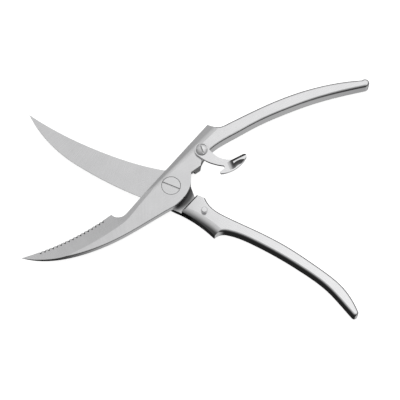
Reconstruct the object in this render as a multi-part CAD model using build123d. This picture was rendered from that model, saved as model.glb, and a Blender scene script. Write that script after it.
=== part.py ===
"""Poultry shears, 25 cm when closed: two forged levers that cross in a lap joint on one pivot screw.

Frame: the origin is on the pivot axis, in the plane that the shears lie on. X points to the handles,
Z along the pivot axis to the front face, and the shears stand open. All lengths are in millimetres.
"""
from build123d import *
import math
import os

# ---- driving dimensions ----
FULL_T = 9.5            # thickness of both handles, and of the two laps together
LAP_GAP = 0.1           # running gap between the two lap faces
FRONT_LAP_Z = FULL_T / 2 + LAP_GAP / 2
REAR_LAP_Z = FULL_T / 2 - LAP_GAP / 2
EDGE_T = 0.5            # thickness left at the two cutting edges
GRIND_W = 10.5          # width of the ground bevel behind a cutting edge
HANDLE_R = 1.5          # rounding along the handles
SPINE_R = 0.6           # rounding along the backs of the blades
RAMP_W = (1.8, 8.6)     # width of the outer bevel, behind the bone notch and at the peak
RAMP_SLOPE = 27.0
RAMP_SOFT_W = (1.6, 3.4)    # part of that width over which it curves into the face
FAR = 400.0             # longer than the whole object, for cutting blocks

# shoulders, where each lever steps up from its lap to the full thickness
FRONT_SHOULDER = (50.0, 18.4)       # direction from the pivot in degrees, and distance
REAR_SHOULDER = (-41.2, 16.4)
SHOULDER_BREAK = 0.9    # chamfer of the shoulder's outer edge

# closing stop: radial facets that nearly meet when the pivot has closed by 57 degrees
FRONT_FACET_ANGLE = 36.1
REAR_FACET_ANGLE = -21.3
FACET_R = (15.9, 23.4)

# pivot: slotted screw, lock washer and round nut
HEAD_R = 6.05
HEAD_RECESS_R = 6.2
HEAD_Z = (7.9, 9.45)
SCREW_R = 3.5
RUNNING_FIT = 0.03
THREAD_R = 2.5
NUT_R = 5.4
NUT_RECESS_R = 5.6
NUT_Z = (0.05, 1.25)
LOCK_WASHER_T = 0.5
REAR_WEB_Z = NUT_Z[1] + LOCK_WASHER_T
SLOT_W = 1.0
SLOT_DEPTH = 0.7
SLOT_ANGLE = -23.0

# torsion spring in the pocket round the screw
POCKET_R = 6.0
POCKET_DEPTH = 1.7
WIRE_R = 0.5
COIL_R = 4.9
COIL_TURNS = 2.0
LEG_R = 8.2
LEG_SLOT_W = 1.5
LEG_ANGLE = 10.0

# opening stop: a pin of the rear lever in an arc groove of the front lever
STOP_R = 9.2
STOP_PIN_R = 1.2
STOP_PIN_ANGLE = -135.0
STOP_PIN_Z = (2.5, 6.2)
STOP_TRAVEL = 57.0
GROOVE_SIDE_GAP = 0.15
GROOVE_END_GAP = 0.6    # degrees

# latch on the front lever and the pin of the rear lever that it catches
LATCH_PIVOT = (19.6, 23.9)
LATCH_Z = (9.7, 11.5)
LATCH_EYE_R = 4.5
LATCH_STEM_R = 2.0
LATCH_STEM_Z = 4.5
LATCH_HEAD_R = 3.8
LATCH_HEAD_Z = (11.55, 12.3)
LATCH_DOME_H = 1.1
LATCH_SLOT_ANGLE = -70.0
PAD_TOP = 13.6
PAD_FOOT = ((35.9, 15.0), (37.7, 10.2))     # line where the plate starts to curve up to the thumb pad
PAD_RAMP_R = 3.8
PAD_CORNER = Vector(39.8, 17.1)
PAD_FAR_END = Vector(45.9, 20.4)
PAD_ALONG = (PAD_FAR_END - PAD_CORNER).normalized()
PAD_TIP = (47.6, 17.6)
PAD_BEVEL = (1.7, 32.0) # width and slope of the bevel along the pad's far edge
DISH = (10.1, 9.0)      # half length and half width of the thumb dish
DISH_CENTRE = (45.7, 9.2, 19.0)
DISH_ANGLE = 36.0
CATCH_PIN = (21.1, -17.3)
CATCH_PIN_R = 1.9
CATCH_PIN_Z = (4.5, 12.6)

# saw teeth of the front blade
SERRATIONS = 17
SERRATION_PITCH = 2.75
SERRATION_R = 0.55
SERRATION_DEPTH = 0.35  # how far a gullet cuts back the edge itself
SERRATION_SLOPE = 40.0
SERRATION_START = 12.4  # from the tip, along the edge


def polar(radius, degrees):
    """Point in the plane of the shears, from its distance and direction from the pivot axis."""
    return (radius * math.cos(math.radians(degrees)), radius * math.sin(math.radians(degrees)))


def upright(x, y, radius, z_low, z_high):
    """Upright cylinder."""
    return Pos(x, y, z_low) * extrude(Circle(radius), amount=z_high - z_low)


def inside_line(angle, distance, z_low, z_high):
    """Block on the pivot's side of a line that is square to the direction angle."""
    block = Box(FAR, FAR, z_high - z_low)
    return Rot(0, 0, angle) * Pos(distance - FAR / 2, 0, (z_low + z_high) / 2) * block


def shoulder_break(angle, distance, z):
    """Square bar that breaks the outer edge of a shoulder at height z by a 45-degree chamfer."""
    side = SHOULDER_BREAK * math.sqrt(2)
    return Rot(0, 0, angle) * Pos(distance, 0, z) * Rot(0, 45, 0) * Box(side, FAR, side)


def swept(path, section):
    """Solid of a section swept along a path; the section's edges are drawn as (leftwards, upwards)."""
    along = path % 0
    plane = Plane(origin=path @ 0, x_dir=Vector(-along.Y, along.X, 0), z_dir=along)
    return sweep(plane * make_face(section), path=path)


def grind_section(side, edge_z, face_z):
    """Wedge that grinds a blade from its face down to its edge; side is 1 if the blade lies to the left."""
    slope = (edge_z - face_z) / GRIND_W
    beyond = 4.0
    low = (-side * beyond, edge_z + beyond * slope)
    high = (side * GRIND_W, face_z)
    out = math.copysign(3.0, face_z - edge_z)
    return Polyline(low, high, (high[0], face_z + out), (low[0], face_z + out), close=True).edges()


def bevel_section(width, edge_z):
    """Area outside a bevel that curves from the front face down to edge_z, over a width leftwards."""
    top = (width, FULL_T)
    foot = (0.0, edge_z)
    beyond = 4.0
    arc = TangentArc(top, foot, tangent=(-1, 0))
    drop = arc % 1
    low = Vector(foot) + drop * (beyond / abs(drop.X))
    outer = Polyline(foot, low, (low.X, FULL_T + 3), (width, FULL_T + 3), top)
    return [arc, *outer.edges()]


# ---- outlines ----
FRONT_TIP = (-94.3, -47.4)
FRONT_EDGE_MID = (-63.4, -34.5)
FRONT_HEEL = (-38.0, -18.2)         # inner end of the saw edge, at the bone notch
FRONT_NOTCH = (-33.4, -20.7)
FRONT_RAMP = (-28.3, -18.4)         # start of the straight outer edge
FRONT_PEAK = (23.6, 43.4)
FRONT_HANDLE = (34.0, 41.8)
FRONT_END = (124.5, 73.9)
FRONT_SHELF = (19.2, 15.6)

REAR_TIP = (-91.9, 50.9)
REAR_EDGE_JOIN = (-62.0, 17.0)
REAR_HEEL = (-19.1, -6.2)
REAR_LAP_END = (5.0, -16.3)
FERRULE_MID = (16.8, -23.5)         # middle of the ferrule's arched outer edge
FERRULE_FOOT = ((3.8, -17.8), (16.2, -24.2))    # where the bevel's foot runs, outside that edge near the lap
REAR_PEAK = (27.7, -33.0)
REAR_HANDLE = (34.5, -30.7)
REAR_END = (116.6, -83.6)
REAR_SHELF = (15.0, -5.9)


def front_outline():
    """Outline of the front lever: saw blade, bone notch, outer edge, handle and closing stop."""
    saw = ThreePointArc(FRONT_TIP, FRONT_EDGE_MID, FRONT_HEEL)
    notch = ThreePointArc(FRONT_HEEL, FRONT_NOTCH, FRONT_RAMP)
    ramp = Line(FRONT_RAMP, FRONT_PEAK)
    scoop = ThreePointArc(FRONT_PEAK, (28.4, 41.0), FRONT_HANDLE)
    top = Spline(FRONT_HANDLE, (47.8, 49.2), (67.4, 58.9), (87.0, 66.5), (106.7, 71.6), FRONT_END)
    end = ThreePointArc(FRONT_END, (129.2, 71.4), (127.0, 69.2))
    low = Spline(
        (127.0, 69.2), (113.7, 66.1), (94.0, 60.4), (74.2, 52.7), (54.5, 43.3), (41.4, 35.6),
        (28.4, 27.4), (22.4, 21.4), FRONT_SHELF,
    )
    stop_out = polar(FACET_R[1], FRONT_FACET_ANGLE)
    stop_in = polar(FACET_R[0], FRONT_FACET_ANGLE)
    stop = Polyline(FRONT_SHELF, stop_out, stop_in, (12.6, 0.5))
    belly = ThreePointArc((12.6, 0.5), (9.0, -7.3), (2.4, -13.9))
    spine = Spline((2.4, -13.9), (-7.0, -19.6), (-32.4, -35.2), (-57.5, -45.7), (-76.0, -49.2), FRONT_TIP)
    return make_face([saw, notch, ramp, scoop, top, end, low, *stop.edges(), belly, spine])


def rear_cutting_edge():
    """The rear blade's cutting edge, from its heel to its tip."""
    flat = ThreePointArc(REAR_HEEL, (-41.0, 4.3), REAR_EDGE_JOIN)
    return [flat, TangentArc(flat @ 1, REAR_TIP, tangent=flat % 1)]


def rear_outline():
    """Outline of the rear lever: plain blade, hub, closing stop, handle and ferrule."""
    back = Spline(REAR_TIP, (-66.3, 35.1), (-42.7, 24.1), (-27.0, 18.2), (-4.4, 12.3))
    hub = ThreePointArc((-4.4, 12.3), polar(12.6, 50), (12.5, 1.5))
    stop_out = polar(FACET_R[1], REAR_FACET_ANGLE)
    stop = Polyline((12.5, 1.5), REAR_SHELF, polar(17.9, REAR_FACET_ANGLE), stop_out)
    top = Spline(
        stop_out, (25.7, -14.5), (34.4, -20.4), (52.9, -29.6), (73.1, -40.8), (92.9, -54.9),
        (107.5, -67.7), (114.6, -78.8), REAR_END,
    )
    end = ThreePointArc(REAR_END, (116.0, -86.4), (113.2, -86.0))
    low = Spline(
        (113.2, -86.0), (107.8, -79.4), (98.1, -68.2), (83.3, -56.4), (68.3, -46.5), (53.3, -38.0),
        (43.2, -33.2), REAR_HANDLE,
    )
    scoop = ThreePointArc(REAR_HANDLE, (30.7, -31.2), REAR_PEAK)
    outer = ThreePointArc(REAR_PEAK, FERRULE_MID, REAR_LAP_END)
    lap = Line(REAR_LAP_END, REAR_HEEL)
    return make_face([back, hub, *stop.edges(), top, end, low, scoop, outer, lap, *rear_cutting_edge()])


# ---- levers ----
def handle_edges(lever):
    """Long edges of a handle, on both faces."""
    flat = lever.edges().filter_by(lambda e: e.bounding_box().size.Z < 0.01)
    on_faces = flat.filter_by(lambda e: min(abs(e.center().Z), abs(e.center().Z - FULL_T)) < 0.01)
    return on_faces.filter_by(lambda e: e.bounding_box().max.X > 100)


def back_edge(lever, z):
    """The long edge of a ground blade's back, on its outer face."""
    splines = lever.edges().filter_by(GeomType.BSPLINE)
    return splines.filter_by(lambda e: abs(e.center().Z - z) < 0.01 and e.center().X < 0 and e.length > 60)


def front_grind():
    """Cutter for the ground bevel of the saw blade; past the bone notch it runs out into the outer bevel."""
    edge = ThreePointArc(FRONT_TIP, FRONT_EDGE_MID, FRONT_HEEL)
    lead = Line((edge @ 0) - (edge % 0) * 10, edge @ 0)
    run_out = Spline(edge @ 1, (-30.4, -9.5), (-20.5, 3.0), (-0.6, 28.2), tangents=[edge % 1, (0.6, 0.8)])
    section = grind_section(-1, FRONT_LAP_Z + EDGE_T, FULL_T)
    return swept(Wire([lead, edge, run_out]), section)


def serration_cutter():
    """Gullets of the saw edge: round grooves that rise inwards across the ground bevel."""
    edge = ThreePointArc(FRONT_TIP, FRONT_EDGE_MID, FRONT_HEEL)
    slope = math.radians(SERRATION_SLOPE)
    cutter = Part()
    for i in range(SERRATIONS):
        place = (SERRATION_START + i * SERRATION_PITCH) / edge.length
        along = edge % place
        inward = Vector(along.Y, -along.X)
        axis = inward * math.cos(slope) + Vector(0, 0, math.sin(slope))
        lift = Vector(0, 0, math.cos(slope)) - inward * math.sin(slope)
        start = (edge @ place) + Vector(0, 0, FRONT_LAP_Z) + inward * SERRATION_DEPTH + lift * SERRATION_R
        cutter += Plane(origin=start, z_dir=axis) * Cylinder(SERRATION_R, 12)
    return cutter


def front_ramp_bevel():
    """Cutter for the bevel along the front lever's outer edge, which widens to the peak."""
    start = Vector(*FRONT_RAMP)
    along = (Vector(*FRONT_PEAK) - start).normalized()
    inward = Vector(along.Y, -along.X)
    slope = math.tan(math.radians(RAMP_SLOPE))
    faces = []
    for distance, width, soft_width in zip((-0.3, 96.0), RAMP_W, RAMP_SOFT_W):
        plane = Plane(origin=start + along * distance, x_dir=inward, z_dir=-along)
        turned = (width - soft_width, FULL_T - soft_width * math.tan(math.radians(RAMP_SLOPE / 2)))
        low = (-4.0, turned[1] - (turned[0] + 4.0) * slope)
        soft = TangentArc((width, FULL_T), turned, tangent=(-1, 0))
        outer = Polyline(turned, low, (low[0], FULL_T + 2), (width, FULL_T + 2), (width, FULL_T))
        faces.append(plane * make_face([soft, *outer.edges()]))
    return loft(faces)


def rear_grind():
    """Cutter for the ground bevel on the back of the plain blade; it runs out at the heel."""
    flat, curl = rear_cutting_edge()
    lead = TangentArc(flat @ 0, (-6.0, -22.0), tangent=-(flat % 0))
    run_in = ThreePointArc(lead @ 1, lead @ 0.5, lead @ 0)
    run_out = Line(curl @ 1, (curl @ 1) + (curl % 1) * 10)
    section = grind_section(-1, REAR_LAP_Z - EDGE_T, 0)
    return swept(Wire([run_in, flat, curl, run_out]), section)


def rear_ferrule_bevel():
    """Cutter for the curved bevel of the ferrule's outer edge, which widens to the scoop at the peak."""
    foot = ThreePointArc(*FERRULE_FOOT, REAR_PEAK)
    path = Wire([foot, Line(foot @ 1, (foot @ 1) + (foot % 1) * 14)])
    return swept(path, bevel_section(5.5, 6.5))


def leg_slot(angle, z_low, z_high):
    """Radial slot for a leg of the torsion spring."""
    slot = Pos(LEG_R / 2, 0, (z_low + z_high) / 2) * Box(LEG_R, LEG_SLOT_W, z_high - z_low)
    return Rot(0, 0, angle) * slot


def stop_groove():
    """Arc groove in the front lever's lap face; the stop pin rests at its end when the shears are open."""
    arc = CenterArc((0, 0), STOP_R, STOP_PIN_ANGLE - GROOVE_END_GAP, STOP_TRAVEL + 2 * GROOVE_END_GAP)
    face = SlotArc(arc, 2 * (STOP_PIN_R + GROOVE_SIDE_GAP))
    return Pos(0, 0, FRONT_LAP_Z) * extrude(face, amount=POCKET_DEPTH)


def front_lever():
    """Forged front lever: saw blade, front lap and upper handle."""
    lever = extrude(front_outline(), amount=FULL_T)
    lever = fillet(handle_edges(lever), HANDLE_R)
    lever -= inside_line(*FRONT_SHOULDER, -1, FRONT_LAP_Z)
    lever -= shoulder_break(*FRONT_SHOULDER, 0)
    lever -= front_grind()
    lever = fillet(back_edge(lever, FULL_T), SPINE_R)
    lever -= front_ramp_bevel()
    lever -= serration_cutter()
    lever -= upright(0, 0, HEAD_RECESS_R, HEAD_Z[0], FULL_T + 1)
    lever -= upright(0, 0, SCREW_R + RUNNING_FIT, 0, FULL_T)
    lever -= upright(0, 0, POCKET_R, FRONT_LAP_Z, FRONT_LAP_Z + POCKET_DEPTH)
    lever -= leg_slot(LEG_ANGLE, FRONT_LAP_Z, FRONT_LAP_Z + POCKET_DEPTH)
    lever -= stop_groove()
    lever -= upright(*LATCH_PIVOT, LATCH_STEM_R, LATCH_STEM_Z, FULL_T + 1)
    return lever


def rear_lever():
    """Forged rear lever: plain blade, rear lap and lower handle."""
    lever = extrude(rear_outline(), amount=FULL_T)
    lever = fillet(handle_edges(lever), HANDLE_R)
    lever -= inside_line(*REAR_SHOULDER, REAR_LAP_Z, FULL_T + 1)
    lever -= shoulder_break(*REAR_SHOULDER, FULL_T)
    lever -= rear_grind()
    lever = fillet(back_edge(lever, 0), SPINE_R)
    lever -= rear_ferrule_bevel()
    lever -= upright(0, 0, SCREW_R, 0, FULL_T)
    lever -= upright(0, 0, NUT_RECESS_R, -1, REAR_WEB_Z)
    lever -= upright(0, 0, POCKET_R, REAR_LAP_Z - POCKET_DEPTH, REAR_LAP_Z)
    lever -= leg_slot(LEG_ANGLE, REAR_LAP_Z - POCKET_DEPTH, REAR_LAP_Z)
    lever -= upright(*polar(STOP_R, STOP_PIN_ANGLE), STOP_PIN_R, STOP_PIN_Z[0], REAR_LAP_Z)
    lever -= upright(*CATCH_PIN, CATCH_PIN_R, CATCH_PIN_Z[0], FULL_T + 1)
    return lever


# ---- pivot ----
def pivot_screw():
    """Slotted screw: flush head, plain shoulder through both laps, and a short thread for the nut."""
    screw = upright(0, 0, HEAD_R, *HEAD_Z)
    screw = chamfer(screw.edges().filter_by(GeomType.CIRCLE).sort_by(Axis.Z)[-1], 0.15)
    screw += upright(0, 0, SCREW_R, REAR_WEB_Z, HEAD_Z[0])
    screw += upright(0, 0, THREAD_R, NUT_Z[0], REAR_WEB_Z)
    slot = Pos(0, 0, HEAD_Z[1]) * Box(2 * HEAD_R + 1, SLOT_W, 2 * SLOT_DEPTH)
    return screw - Rot(0, 0, SLOT_ANGLE) * slot


def pivot_nut():
    """Round nut, flush in the rear face, with two holes for a pin spanner."""
    nut = upright(0, 0, NUT_R, *NUT_Z) - upright(0, 0, THREAD_R, 0, NUT_Z[1] + 1)
    for side in (-1, 1):
        nut -= upright(side * 4.0, 0, 0.6, NUT_Z[0] - 1, NUT_Z[1] + 1)
    return chamfer(nut.edges().filter_by(GeomType.CIRCLE).sort_by(SortBy.RADIUS)[-2:], 0.15)


def lock_washer():
    """Flat lock washer between the nut and the rear lever."""
    z_low, z_high = NUT_Z[1], REAR_WEB_Z
    return upright(0, 0, NUT_R, z_low, z_high) - upright(0, 0, THREAD_R, z_low - 1, z_high + 1)


def torsion_spring():
    """Wire spring round the screw, with one leg in each lever."""
    low = REAR_LAP_Z - POCKET_DEPTH + WIRE_R + 0.15
    high = FRONT_LAP_Z + POCKET_DEPTH - WIRE_R - 0.15
    pitch = (high - low) / COIL_TURNS
    coil = Pos(0, 0, low) * Rot(0, 0, LEG_ANGLE) * Helix(pitch, high - low, COIL_R)
    start = Plane(origin=coil @ 0, z_dir=coil % 0)
    spring = sweep(start * Circle(WIRE_R), path=coil)
    for z in (low, high):
        leg = Rot(0, 90, 0) * extrude(Circle(WIRE_R), amount=LEG_R - 0.5 - COIL_R)
        spring += Rot(0, 0, LEG_ANGLE) * Pos(COIL_R, 0, z) * leg
    return spring


def opening_stop_pin():
    """Dowel pin of the rear lever that stops the opening."""
    return upright(*polar(STOP_R, STOP_PIN_ANGLE), STOP_PIN_R, *STOP_PIN_Z)


def catch_pin():
    """Pin pressed into the rear lever, with a rounded top for the latch to ride over."""
    pin = upright(*CATCH_PIN, CATCH_PIN_R, *CATCH_PIN_Z)
    return fillet(pin.edges().filter_by(GeomType.CIRCLE).sort_by(Axis.Z)[-1], 0.35)


# ---- latch ----
def latch_plate_outline():
    """Outline of the latch: eye, curved arm, thumb pad, and the crescent that ends in the hook."""
    upper = Spline((23.2, 26.5), (27.0, 21.2), (32.0, 18.0), (37.3, 17.1))
    shelf = Line((37.3, 17.1), (PAD_CORNER.X, 17.1))
    far = Line((PAD_CORNER.X, 17.1), PAD_FAR_END)
    end = TangentArc(far @ 1, PAD_TIP, tangent=far % 1)
    crescent = Spline(PAD_TIP, (45.2, 14.1), (42.6, 11.7), (37.2, 8.7), (32.7, 7.6))
    tip = ThreePointArc((32.7, 7.6), (31.4, 8.4), (32.0, 9.5))
    hook = Line((32.0, 9.5), (33.6, 10.5))
    throat = ThreePointArc((33.6, 10.5), (34.2, 11.7), (33.5, 13.0))
    lower = Spline((33.5, 13.0), (30.6, 13.4), (27.5, 14.2), (24.0, 15.5), (20.6, 17.5), (16.6, 20.6))
    close = Line((16.6, 20.6), (23.2, 26.5))
    return make_face([upper, shelf, far, end, crescent, tip, hook, throat, lower, close])


def latch_pad():
    """Raised thumb pad: a ramp at its foot, a bevelled far edge, and a dished outer side."""
    far = Line(PAD_FOOT[0], PAD_FAR_END)
    end = TangentArc(far @ 1, PAD_TIP, tangent=PAD_ALONG)
    near = ThreePointArc(PAD_TIP, (43.4, 13.1), PAD_FOOT[1])
    outline = make_face([far, end, near, Line(PAD_FOOT[1], PAD_FOOT[0])])
    pad = Pos(0, 0, LATCH_Z[0]) * extrude(outline, amount=PAD_TOP - LATCH_Z[0])
    ramp_centre = (*PAD_FOOT[0], LATCH_Z[1] + PAD_RAMP_R)
    foot_along = Vector(*PAD_FOOT[1]) - Vector(*PAD_FOOT[0])
    pad -= Plane(origin=ramp_centre, z_dir=foot_along) * Cylinder(PAD_RAMP_R, 30)
    width, slope = PAD_BEVEL
    far_angle = math.degrees(math.atan2(PAD_ALONG.Y, PAD_ALONG.X))
    far_edge = Pos(PAD_CORNER.X, PAD_CORNER.Y, PAD_TOP) * Rot(0, 0, far_angle)
    pad -= far_edge * Pos(0, -width, 0) * Rot(-slope, 0, 0) * Pos(0, 0, 5) * Box(FAR, 40, 10)
    dish = scale(Sphere(1), by=(DISH[0], DISH[1], DISH[1]))
    return pad - Pos(*DISH_CENTRE) * Rot(0, 0, DISH_ANGLE) * dish


def latch():
    """Latch lever: a plate with a hook, and a raised thumb pad."""
    plate = Pos(0, 0, LATCH_Z[0]) * extrude(latch_plate_outline(), amount=LATCH_Z[1] - LATCH_Z[0])
    body = plate + latch_pad() + upright(*LATCH_PIVOT, LATCH_EYE_R, *LATCH_Z)
    return body - upright(*LATCH_PIVOT, LATCH_STEM_R + RUNNING_FIT, *LATCH_Z)


def latch_screw():
    """Slotted shoulder screw with a domed head that the latch turns on."""
    head = upright(*LATCH_PIVOT, LATCH_HEAD_R, *LATCH_HEAD_Z)
    ball_r = (LATCH_HEAD_R**2 + LATCH_DOME_H**2) / (2 * LATCH_DOME_H)
    ball = Pos(*LATCH_PIVOT, LATCH_HEAD_Z[1] + LATCH_DOME_H - ball_r) * Sphere(ball_r)
    head += ball & upright(*LATCH_PIVOT, LATCH_HEAD_R, LATCH_HEAD_Z[1], LATCH_HEAD_Z[1] + LATCH_DOME_H)
    screw = head + upright(*LATCH_PIVOT, LATCH_STEM_R, LATCH_STEM_Z, LATCH_HEAD_Z[0])
    slot = Pos(*LATCH_PIVOT, LATCH_HEAD_Z[1] + LATCH_DOME_H) * Rot(0, 0, LATCH_SLOT_ANGLE)
    return screw - slot * Box(2 * LATCH_HEAD_R + 1, 0.8, 2 * 0.9)


def latch_spring_washer():
    """Thin spring washer under the latch's eye, which keeps the latch where it is put."""
    ring = upright(*LATCH_PIVOT, LATCH_EYE_R - 0.3, FULL_T, LATCH_Z[0])
    return ring - upright(*LATCH_PIVOT, LATCH_STEM_R, FULL_T - 1, LATCH_Z[0] + 1)


NODES = {
    "front_lever": front_lever,
    "rear_lever": rear_lever,
    "pivot_screw": pivot_screw,
    "pivot_nut": pivot_nut,
    "pivot_lock_washer": lock_washer,
    "torsion_spring": torsion_spring,
    "opening_stop_pin": opening_stop_pin,
    "catch_pin": catch_pin,
    "latch": latch,
    "latch_screw": latch_screw,
    "latch_spring_washer": latch_spring_washer,
}

os.makedirs("parts", exist_ok=True)
for name, make in NODES.items():
    export_step(make(), f"parts/{name}.step")
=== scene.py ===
"""Looks of the poultry shears: procedural steels on the CAD nodes, a coiled torsion spring, and the studio.
"""
import math

import bpy
from mathutils import Matrix, Vector


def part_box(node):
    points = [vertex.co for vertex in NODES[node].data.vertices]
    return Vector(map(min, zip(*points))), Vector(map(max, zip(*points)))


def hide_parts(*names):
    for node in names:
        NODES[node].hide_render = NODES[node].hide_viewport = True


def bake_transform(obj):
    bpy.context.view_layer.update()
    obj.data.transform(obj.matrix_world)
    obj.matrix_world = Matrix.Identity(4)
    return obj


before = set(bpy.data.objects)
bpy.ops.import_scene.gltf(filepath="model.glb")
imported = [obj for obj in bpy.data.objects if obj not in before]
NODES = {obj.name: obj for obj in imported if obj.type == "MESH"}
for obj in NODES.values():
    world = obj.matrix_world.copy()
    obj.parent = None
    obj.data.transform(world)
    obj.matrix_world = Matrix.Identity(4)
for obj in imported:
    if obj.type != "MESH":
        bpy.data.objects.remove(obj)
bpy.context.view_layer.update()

MM = 0.001

# ---- places on the shears, in mm in the CAD frame ----
SAW_LINES_TO = (-15.0, -122.0, 0.0)         # the lines across the saw blade all point to this place
PLAIN_LINES_TO = (-5.0, 100.0, 0.0)         # and those across the plain blade to this one
FRONT_HANDLE_ANGLE = 35                     # degrees, direction of the lines along the front handle
REAR_HANDLE_ANGLE = -34
BETWEEN_BLADES = (-60.0, 0.0, 0.0)          # lines across a blade have their width at this distance
ACROSS_TO_ALONG_X = (-12.0, 0.0)            # lines across the blade give way to lines along the handle
BRUSHED_TO_POLISHED_X = (6.0, 24.0)         # a lever's brushed half gives way to its polished half


# ---- node helpers ----
def socket_of(node, key):
    """An input by its name, with spaces as underscores, or by its number, as n0, n1 and so on."""
    if key[0] == "n" and key[1:].isdigit():
        return node.inputs[int(key[1:])]
    return node.inputs[key.replace("_", " ")]


def add(tree, kind, settings=None, **links):
    """A shader node; the keywords are its sockets, each linked or set to a value."""
    node = tree.nodes.new(kind)
    for key, value in (settings or {}).items():
        setattr(node, key, value)
    for key, value in links.items():
        socket = socket_of(node, key)
        if isinstance(value, bpy.types.NodeSocket):
            tree.links.new(value, socket)
        else:
            socket.default_value = value
    return node


def math_node(tree, operation, a, b=0.0):
    return add(tree, "ShaderNodeMath", {"operation": operation}, n0=a, n1=b).outputs[0]


def times(tree, a, b):
    return math_node(tree, "MULTIPLY", a, b)


def vector_math(tree, operation, **links):
    return add(tree, "ShaderNodeVectorMath", {"operation": operation}, **links).outputs


def components(tree, vector):
    """X, Y and Z of a vector."""
    return add(tree, "ShaderNodeSeparateXYZ", None, Vector=vector).outputs


def ramp(tree, value, low, high, out_low=0.0, out_high=1.0):
    """Smooth step from out_low to out_high as value goes from low to high."""
    node = add(
        tree, "ShaderNodeMapRange", {"interpolation_type": "SMOOTHSTEP"},
        Value=value, From_Min=low, From_Max=high, To_Min=out_low, To_Max=out_high,
    )
    return node.outputs[0]


def mix(tree, factor, a, b):
    """Blend of two numbers."""
    return add(tree, "ShaderNodeMix", {"data_type": "FLOAT"}, n0=factor, n2=a, n3=b).outputs[0]


def millimetres(tree):
    """Position on the piece in millimetres, in the CAD frame."""
    place = add(tree, "ShaderNodeTexCoord").outputs["Object"]
    return vector_math(tree, "SCALE", n0=place, Scale=1 / MM)[0]


def noise(tree, vector, scale, detail):
    texture = add(tree, "ShaderNodeTexNoise", None, Vector=vector, Scale=scale, Detail=detail, Roughness=0.55)
    return texture.outputs[0]


# ---- machining lines: a width and a length in mm ----
BLADE_LINES = (0.35, 9.0)
BLADE_STREAKS = (1.5, 40.0)
STREAK_SHARE = 0.75             # of the streaks, against the blade's fine lines
HANDLE_LINES = (0.3, 14.0)
FITTING_LINES = (0.2, 6.0)
LINE_DETAIL = 2.0


def straight_lines(tree, place, angle, width, length):
    """Fine lines along a direction in the plane of the shears."""
    spot = add(
        tree, "ShaderNodeMapping", {"vector_type": "TEXTURE"}, Vector=place,
        Rotation=(0.0, 0.0, math.radians(angle)), Scale=(length, width, width),
    )
    return noise(tree, spot.outputs[0], 1.0, LINE_DETAIL)


def radial_lines(tree, place, centre, width, length):
    """Fine lines that all point to one place, and so stay across a curved blade."""
    offset = vector_math(tree, "SUBTRACT", n0=place, n1=centre)[0]
    parts = components(tree, offset)
    turn = math_node(tree, "ARCTAN2", parts["Y"], parts["X"])
    reach = vector_math(tree, "LENGTH", n0=offset)["Value"]
    spot = add(
        tree, "ShaderNodeCombineXYZ", None,
        X=times(tree, turn, math.dist(centre, BETWEEN_BLADES) / width),
        Y=math_node(tree, "DIVIDE", reach, length),
        Z=math_node(tree, "DIVIDE", parts["Z"], length),
    )
    return noise(tree, spot.outputs[0], 1.0, LINE_DETAIL)


def lever_lines(lines_to, handle_angle):
    """Fine lines and broad streaks across the blade, and lines along the lap and the handle."""
    def lines(tree, place):
        fine = radial_lines(tree, place, lines_to, *BLADE_LINES)
        broad = radial_lines(tree, place, lines_to, *BLADE_STREAKS)
        across = mix(tree, STREAK_SHARE, fine, broad)
        along = straight_lines(tree, place, handle_angle, *HANDLE_LINES)
        return mix(tree, ramp(tree, components(tree, place)["X"], *ACROSS_TO_ALONG_X), across, along)
    return lines


def plain_lines(angle):
    """Lines one way all over a small piece."""
    def lines(tree, place):
        return straight_lines(tree, place, angle, *FITTING_LINES)
    return lines


# ---- steel: tones and shares run from 0 to 1 ----
SPREAD = 0.05                   # how far tarnish and lines each move the tone, up or down
BLOTCH = 9.0                    # mm, size of the tarnish blotches
BLOTCH_DETAIL = 4.0
SPECK_SCALE = 3.0               # 1/mm
SPECK_DETAIL = 2.0
BLUISH = 1.01                   # blue, against red and green
LINE_ROUGHNESS = (0.8, 1.25)    # factor where the lines lie low, and where they stand high
SPECK_ROUGHNESS = (0.9, 1.1)

WORN_EDGE = 0.12                # mm, radius of a worn edge
WEAR_AND_HIGHLIGHT_BEND = (0.99, 0.85)        # cosine of the bend at which wear and the painted highlight start, and are full
EDGE_HIGHLIGHT_TONE = 0.1                 # edges brighter by this, a painted highlight
WORN_ROUGHNESS = 0.7            # and smoother by this factor

CREVICE = 3.0                   # mm over which a crevice gathers painted shade
CREVICE_SHADE_TONE = 0.25             # painted shade: how much of the tone is left in the deepest crevice
LEVER_OPENNESS = (0.1, 0.8)     # openness at which a surface has the full painted shade, and none
FITTING_OPENNESS = (0.35, 0.95)

PIVOT_SHADE_TONE = 0.14                 # painted shade and dark reflections round the pivot: how much of the tone is left under them
PIVOT_SHADE_EDGE = (26.0, 23.5)         # mm from the pivot axis: the outer edge of the painted shade
PIVOT_SHADE_LAP_EDGE = (18.0, 13.5)     # the same on the lap face
PIVOT_SHADE_START_X = (1.0, 5.0)        # mm: the painted shade starts right of the pivot axis
PIVOT_SHADE_TILT = (0.6, 0.3)           # upward part of the normal: no wall at the first, a wall at the second
LAP_TOP_Z = (5.2, 4.9)          # mm: lap faces lie under this
LAP_BOTTOM_Z = (1.0, 3.0)       # mm: and over this, which leaves out the underside


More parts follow.
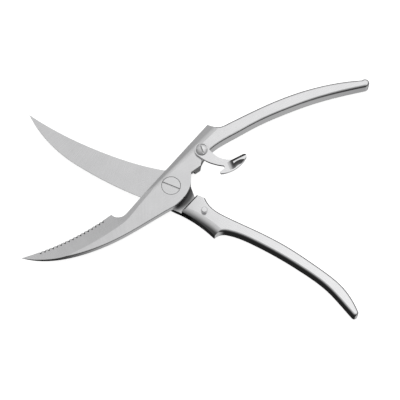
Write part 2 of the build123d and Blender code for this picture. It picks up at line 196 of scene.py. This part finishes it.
def pivot_shade_mask(tree, place):
    """How far painted shade and dark reflections darken the walls and lap faces round the pivot and the
    closing stop.
    """
    parts = components(tree, place)
    flat_place = add(tree, "ShaderNodeCombineXYZ", None, X=parts["X"], Y=parts["Y"]).outputs[0]
    reach = vector_math(tree, "LENGTH", n0=flat_place)["Value"]
    normal = add(tree, "ShaderNodeNewGeometry").outputs["True Normal"]
    up = math_node(tree, "ABSOLUTE", components(tree, normal)["Z"])
    near = times(tree, ramp(tree, reach, *PIVOT_SHADE_EDGE), ramp(tree, parts["X"], *PIVOT_SHADE_START_X))
    wall = ramp(tree, up, *PIVOT_SHADE_TILT)
    lap = times(tree, ramp(tree, parts["Z"], *LAP_TOP_Z), ramp(tree, reach, *PIVOT_SHADE_LAP_EDGE))
    lap = times(tree, lap, ramp(tree, parts["Z"], *LAP_BOTTOM_Z))
    return times(tree, near, math_node(tree, "MAXIMUM", wall, lap))


def openness(tree):
    """How much of the space within a crevice's reach is open, from 0 to 1."""
    return add(tree, "ShaderNodeAmbientOcclusion", {"samples": 8}, Distance=CREVICE * MM).outputs["AO"]


def wear_and_highlight_of(tree, rounded_normal):
    """Wear and a painted highlight along the edges, where the rounded normal leaves the flat one."""
    flat = add(tree, "ShaderNodeNewGeometry").outputs["Normal"]
    bend = vector_math(tree, "DOT_PRODUCT", n0=rounded_normal, n1=flat)["Value"]
    return ramp(tree, bend, *WEAR_AND_HIGHLIGHT_BEND)


def steel(name, lines, line_depth, tone, roughness, polished=None, shaded_round_pivot=False, fitting=False):
    """Bare steel: machining lines in tone, roughness and bump, slow tarnish, painted shade in crevices,
    and edges worn smoother with a painted highlight.

    line_depth is in mm. polished is the tone and roughness of a lever's polished half, and tone and
    roughness are then those of its brushed half. A fitting gets more painted shade at its foot."""
    material = bpy.data.materials.new(name)
    material.use_nodes = True
    tree = material.node_tree
    tree.nodes.clear()
    place = millimetres(tree)
    grain = lines(tree, place)
    cloud = noise(tree, place, 1 / BLOTCH, BLOTCH_DETAIL)
    speck = noise(tree, place, SPECK_SCALE, SPECK_DETAIL)
    rounded = add(tree, "ShaderNodeBevel", {"samples": 4}, Radius=WORN_EDGE * MM).outputs[0]
    wear_and_highlight = wear_and_highlight_of(tree, rounded)
    if polished:
        x = components(tree, place)["X"]
        tone = ramp(tree, x, *BRUSHED_TO_POLISHED_X, tone, polished[0])
        roughness = ramp(tree, x, *BRUSHED_TO_POLISHED_X, roughness, polished[1])

    shade = math_node(tree, "ADD", mix(tree, cloud, -SPREAD, SPREAD), mix(tree, grain, -SPREAD, SPREAD))
    bright = math_node(tree, "ADD", shade, tone)
    # painted highlight along the worn edges
    bright = math_node(tree, "ADD", bright, times(tree, wear_and_highlight, EDGE_HIGHLIGHT_TONE))
    # painted shade: darker where little of the space round a surface is open, as in crevices, between parts
    # and at a fitting's foot
    shade_full_at, shade_none_at = FITTING_OPENNESS if fitting else LEVER_OPENNESS
    bright = times(tree, bright, ramp(tree, openness(tree), shade_full_at, shade_none_at, CREVICE_SHADE_TONE, 1.0))
    # painted shade and dark reflections on the walls and lap faces round the pivot and the closing stop
    if shaded_round_pivot:
        bright = times(tree, bright, mix(tree, pivot_shade_mask(tree, place), 1.0, PIVOT_SHADE_TONE))
    blue = times(tree, bright, BLUISH)
    colour = add(tree, "ShaderNodeCombineColor", None, Red=bright, Green=bright, Blue=blue).outputs[0]

    rough = times(tree, mix(tree, grain, *LINE_ROUGHNESS), mix(tree, speck, *SPECK_ROUGHNESS))
    rough = times(tree, rough, roughness)
    rough = times(tree, rough, mix(tree, wear_and_highlight, 1.0, WORN_ROUGHNESS))
    bump = add(
        tree, "ShaderNodeBump", None,
        Strength=1.0, Distance=line_depth * MM, Height=grain, Normal=rounded,
    )
    shader = add(
        tree, "ShaderNodeBsdfPrincipled", None,
        Base_Color=colour, Metallic=1.0, Roughness=rough, Normal=bump.outputs[0],
    )
    add(tree, "ShaderNodeOutputMaterial", None, Surface=shader.outputs[0])
    return material


def paint(node, material):
    """Gives a CAD node its material."""
    mesh = NODES[node].data
    if not mesh.materials:
        mesh.materials.append(material)
    for i in range(len(mesh.materials)):
        mesh.materials[i] = material


def paint_levers():
    """Brushed blades and polished handles, with painted shade and dark reflections round the pivot."""
    front_lines = lever_lines(SAW_LINES_TO, FRONT_HANDLE_ANGLE)
    front = steel(
        "front_lever_steel", front_lines, line_depth=0.0015, tone=0.84, roughness=0.2,
        polished=(0.83, 0.09), shaded_round_pivot=True,
    )
    paint("front_lever", front)
    rear_lines = lever_lines(PLAIN_LINES_TO, REAR_HANDLE_ANGLE)
    rear = steel(
        "rear_lever_steel", rear_lines, line_depth=0.0015, tone=0.80, roughness=0.26,
        polished=(0.94, 0.08), shaded_round_pivot=True,
    )
    paint("rear_lever", rear)


def paint_pivot():
    """Screw and nut of one steel, and a duller washer between them."""
    screw = steel("pivot_screw_steel", plain_lines(-23), line_depth=0.001, tone=0.86, roughness=0.14)
    paint("pivot_screw", screw)
    paint("pivot_nut", screw)
    washer = steel("lock_washer_steel", plain_lines(10), line_depth=0.002, tone=0.66, roughness=0.35)
    paint("pivot_lock_washer", washer)


def paint_pins():
    """Bright ground pins."""
    pin = steel("pin_steel", plain_lines(90), line_depth=0.0005, tone=0.95, roughness=0.06, fitting=True)
    paint("catch_pin", pin)
    paint("opening_stop_pin", pin)


def paint_latch():
    """Polished latch with its screw, and a duller washer under it."""
    paint("latch", steel("latch_steel", plain_lines(-25), line_depth=0.0008, tone=0.88, roughness=0.09))
    screw = steel(
        "latch_screw_steel", plain_lines(60), line_depth=0.0005, tone=0.9, roughness=0.07, fitting=True,
    )
    paint("latch_screw", screw)
    washer = steel("washer_steel", plain_lines(0), line_depth=0.002, tone=0.70, roughness=0.3)
    paint("latch_spring_washer", washer)


# ---- torsion spring ----
SPRING_WIRE_R = 0.5 * MM
SPRING_TURNS = 2
SPRING_STEPS = 32               # control points in each turn
SPRING_LEG_ANGLE = 10.0         # degrees
SPRING_LEG_STRAIGHT = 0.8 * MM  # outer part of a leg, before it bends into the coil


def round_axis(radius, degrees, z):
    """Point at a distance and a direction from the pivot axis."""
    return (radius * math.cos(math.radians(degrees)), radius * math.sin(math.radians(degrees)), z)


def wire_tube(name, points, radius):
    """Round wire along a smooth curve, as a mesh."""
    curve = bpy.data.curves.new(name, "CURVE")
    curve.dimensions = "3D"
    curve.resolution_u = 3
    curve.bevel_depth = radius
    curve.bevel_resolution = 4
    curve.use_fill_caps = True
    spline = curve.splines.new("NURBS")
    spline.points.add(len(points) - 1)
    for control, point in zip(spline.points, points):
        control.co = (*point, 1.0)
    spline.order_u = 3
    spline.use_endpoint_u = True
    helper = bpy.data.objects.new(name + "_curve", curve)
    mesh = bpy.data.meshes.new_from_object(helper)
    bpy.data.objects.remove(helper)
    for face in mesh.polygons:
        face.use_smooth = True
    item = bpy.data.objects.new(name, mesh)
    bpy.context.scene.collection.objects.link(item)
    return item


def torsion_spring(material):
    """Coil of spring wire round the screw, with a leg in each lever."""
    low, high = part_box("torsion_spring")
    bottom = low[2] + SPRING_WIRE_R
    top = high[2] - SPRING_WIRE_R
    coil_r = high[1] - SPRING_WIRE_R
    leg_end = high[0] / math.cos(math.radians(SPRING_LEG_ANGLE))
    leg_bend = leg_end - SPRING_LEG_STRAIGHT
    points = [round_axis(radius, SPRING_LEG_ANGLE, bottom) for radius in (leg_end, leg_bend)]
    steps = SPRING_TURNS * SPRING_STEPS
    for i in range(steps + 1):
        turned = SPRING_LEG_ANGLE + 360.0 * SPRING_TURNS * i / steps
        points.append(round_axis(coil_r, turned, bottom + (top - bottom) * i / steps))
    points += [round_axis(radius, SPRING_LEG_ANGLE, top) for radius in (leg_bend, leg_end)]
    spring = wire_tube("torsion_spring_coil", points, SPRING_WIRE_R)
    spring.data.materials.append(material)
    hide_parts("torsion_spring")
    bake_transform(spring)


# ---- camera ----
CAMERA_TILT = 21.0                          # degrees from straight above
CAMERA_DISTANCE = 1.25
LENS = 176.4                                # mm
SENSOR = 36.0                               # mm, width
AIM = Vector((0.0, 0.0, 9.5 * MM))          # on the pivot axis, at the levers' front face
AIM_OFFSET = (18.45 * MM, -9.2 * MM)        # from AIM to the picture's middle: to the right, and down


def camera():
    data = bpy.data.cameras.new("camera")
    data.lens = LENS
    data.sensor_width = SENSOR
    data.clip_start = 0.05
    data.clip_end = 10.0
    item = bpy.data.objects.new("camera", data)
    bpy.context.scene.collection.objects.link(item)
    tilt = Matrix.Rotation(math.radians(CAMERA_TILT), 3, "X")
    turn = Matrix.Rotation(-math.atan(AIM_OFFSET[0] / CAMERA_DISTANCE), 3, "Y")
    nod = Matrix.Rotation(math.atan(AIM_OFFSET[1] / CAMERA_DISTANCE), 3, "X")
    item.rotation_mode = "QUATERNION"
    item.rotation_quaternion = (tilt @ turn @ nod).to_quaternion()
    item.location = AIM + tilt @ Vector((0, 0, CAMERA_DISTANCE))
    bpy.context.scene.camera = item


# ---- studio ----
FLOOR_SIZE = 6.0
FLOOR_Z = -0.2 * MM
FLOOR_TONE = (0.9, 0.9, 0.9, 1)
FLOOR_GLOW = 0.85

# The light depends on direction only. A span belongs to one part of the direction, from -1 to 1: X to
# the right, Y to the back, Z up, or the part towards LEFT_FRONT. Four values are a span and the light at
# its two ends.
LEFT_FRONT = (-0.85, -0.53, 0.0)
CEILING = (-0.235, -0.165, 1.15, 0.80)      # LEFT_FRONT: brighter over the handles than over the blades
BACK = (-0.6, -0.1, 0.50, 0.78)             # X: dimmer on the left
BELOW = (-0.12, 0.16, 0.57, 0.02)           # LEFT_FRONT: bright on the right, dark at the left and front
BACK_RISE = (0.18, 0.34)                    # Z: from the dark horizon to the back
CEILING_RISE = (0.40, 0.85)                 # Z: from the back to the ceiling
HORIZON = (-0.3, 0.0)                       # Z: from the light below to the light above
BEHIND_ABOVE = (0.05, 0.5)                  # Y: past this, the light above has its full strength
BEHIND_BELOW = (0.05, 0.3)                  # Y: past this, the light below is gone
FACES_MIRROR = (0.05, 0.45, 0.93)           # close to what the flat faces mirror to the camera
FACES_FALLOFF = 1.5                         # power by which the light above fades away from there
DARK_FRONT = 0.07
DARK_BACK = 0.06


def floor():
    """Plain pale floor, lit evenly; it glows a little, so the shadow on it stays faint."""
    bpy.ops.mesh.primitive_plane_add(size=FLOOR_SIZE, location=(0, 0, FLOOR_Z))
    item = bpy.context.object
    item.name = "floor"
    material = bpy.data.materials.new("pale_floor")
    material.use_nodes = True
    shader = material.node_tree.nodes["Principled BSDF"]
    shader.inputs["Base Color"].default_value = FLOOR_TONE
    shader.inputs["Roughness"].default_value = 1.0
    shader.inputs["Specular IOR Level"].default_value = 0.0
    shader.inputs["Emission Color"].default_value = (1, 1, 1, 1)
    shader.inputs["Emission Strength"].default_value = FLOOR_GLOW
    item.data.materials.append(material)
    item.visible_glossy = False
    item.visible_shadow = False


def towards(tree, way, direction):
    """How far a way points in a direction, from -1 to 1."""
    axis = Vector(direction).normalized()
    return vector_math(tree, "DOT_PRODUCT", n0=way, n1=tuple(axis))["Value"]


def studio_light():
    """Tent light: a bright ceiling and back, a dark front and horizon, and a soft light from lower right."""
    world = bpy.data.worlds.new("studio")
    bpy.context.scene.world = world
    world.use_nodes = True
    tree = world.node_tree
    tree.nodes.clear()
    way = add(tree, "ShaderNodeTexCoord").outputs["Generated"]
    parts = components(tree, way)
    left_front = towards(tree, way, LEFT_FRONT)

    back = mix(tree, ramp(tree, parts["Z"], *BACK_RISE), DARK_BACK, ramp(tree, parts["X"], *BACK))
    above = mix(tree, ramp(tree, parts["Z"], *CEILING_RISE), back, ramp(tree, left_front, *CEILING))
    lit = math_node(tree, "MAXIMUM", towards(tree, way, FACES_MIRROR), 0.0)
    lit = math_node(tree, "POWER", lit, FACES_FALLOFF)
    lit = math_node(tree, "MAXIMUM", lit, ramp(tree, parts["Y"], *BEHIND_ABOVE))
    above = mix(tree, lit, DARK_FRONT, above)

    below = mix(tree, ramp(tree, parts["Y"], *BEHIND_BELOW), ramp(tree, left_front, *BELOW), DARK_BACK)
    strength = mix(tree, ramp(tree, parts["Z"], *HORIZON), below, above)
    glow = add(tree, "ShaderNodeBackground", None, Strength=strength)
    add(tree, "ShaderNodeOutputWorld", None, Surface=glow.outputs[0])


paint_levers()
paint_pivot()
paint_pins()
paint_latch()
torsion_spring(steel("spring_steel", plain_lines(0), line_depth=0.002, tone=0.55, roughness=0.3))
camera()
floor()
studio_light()
bpy.context.scene.view_settings.view_transform = "Standard"
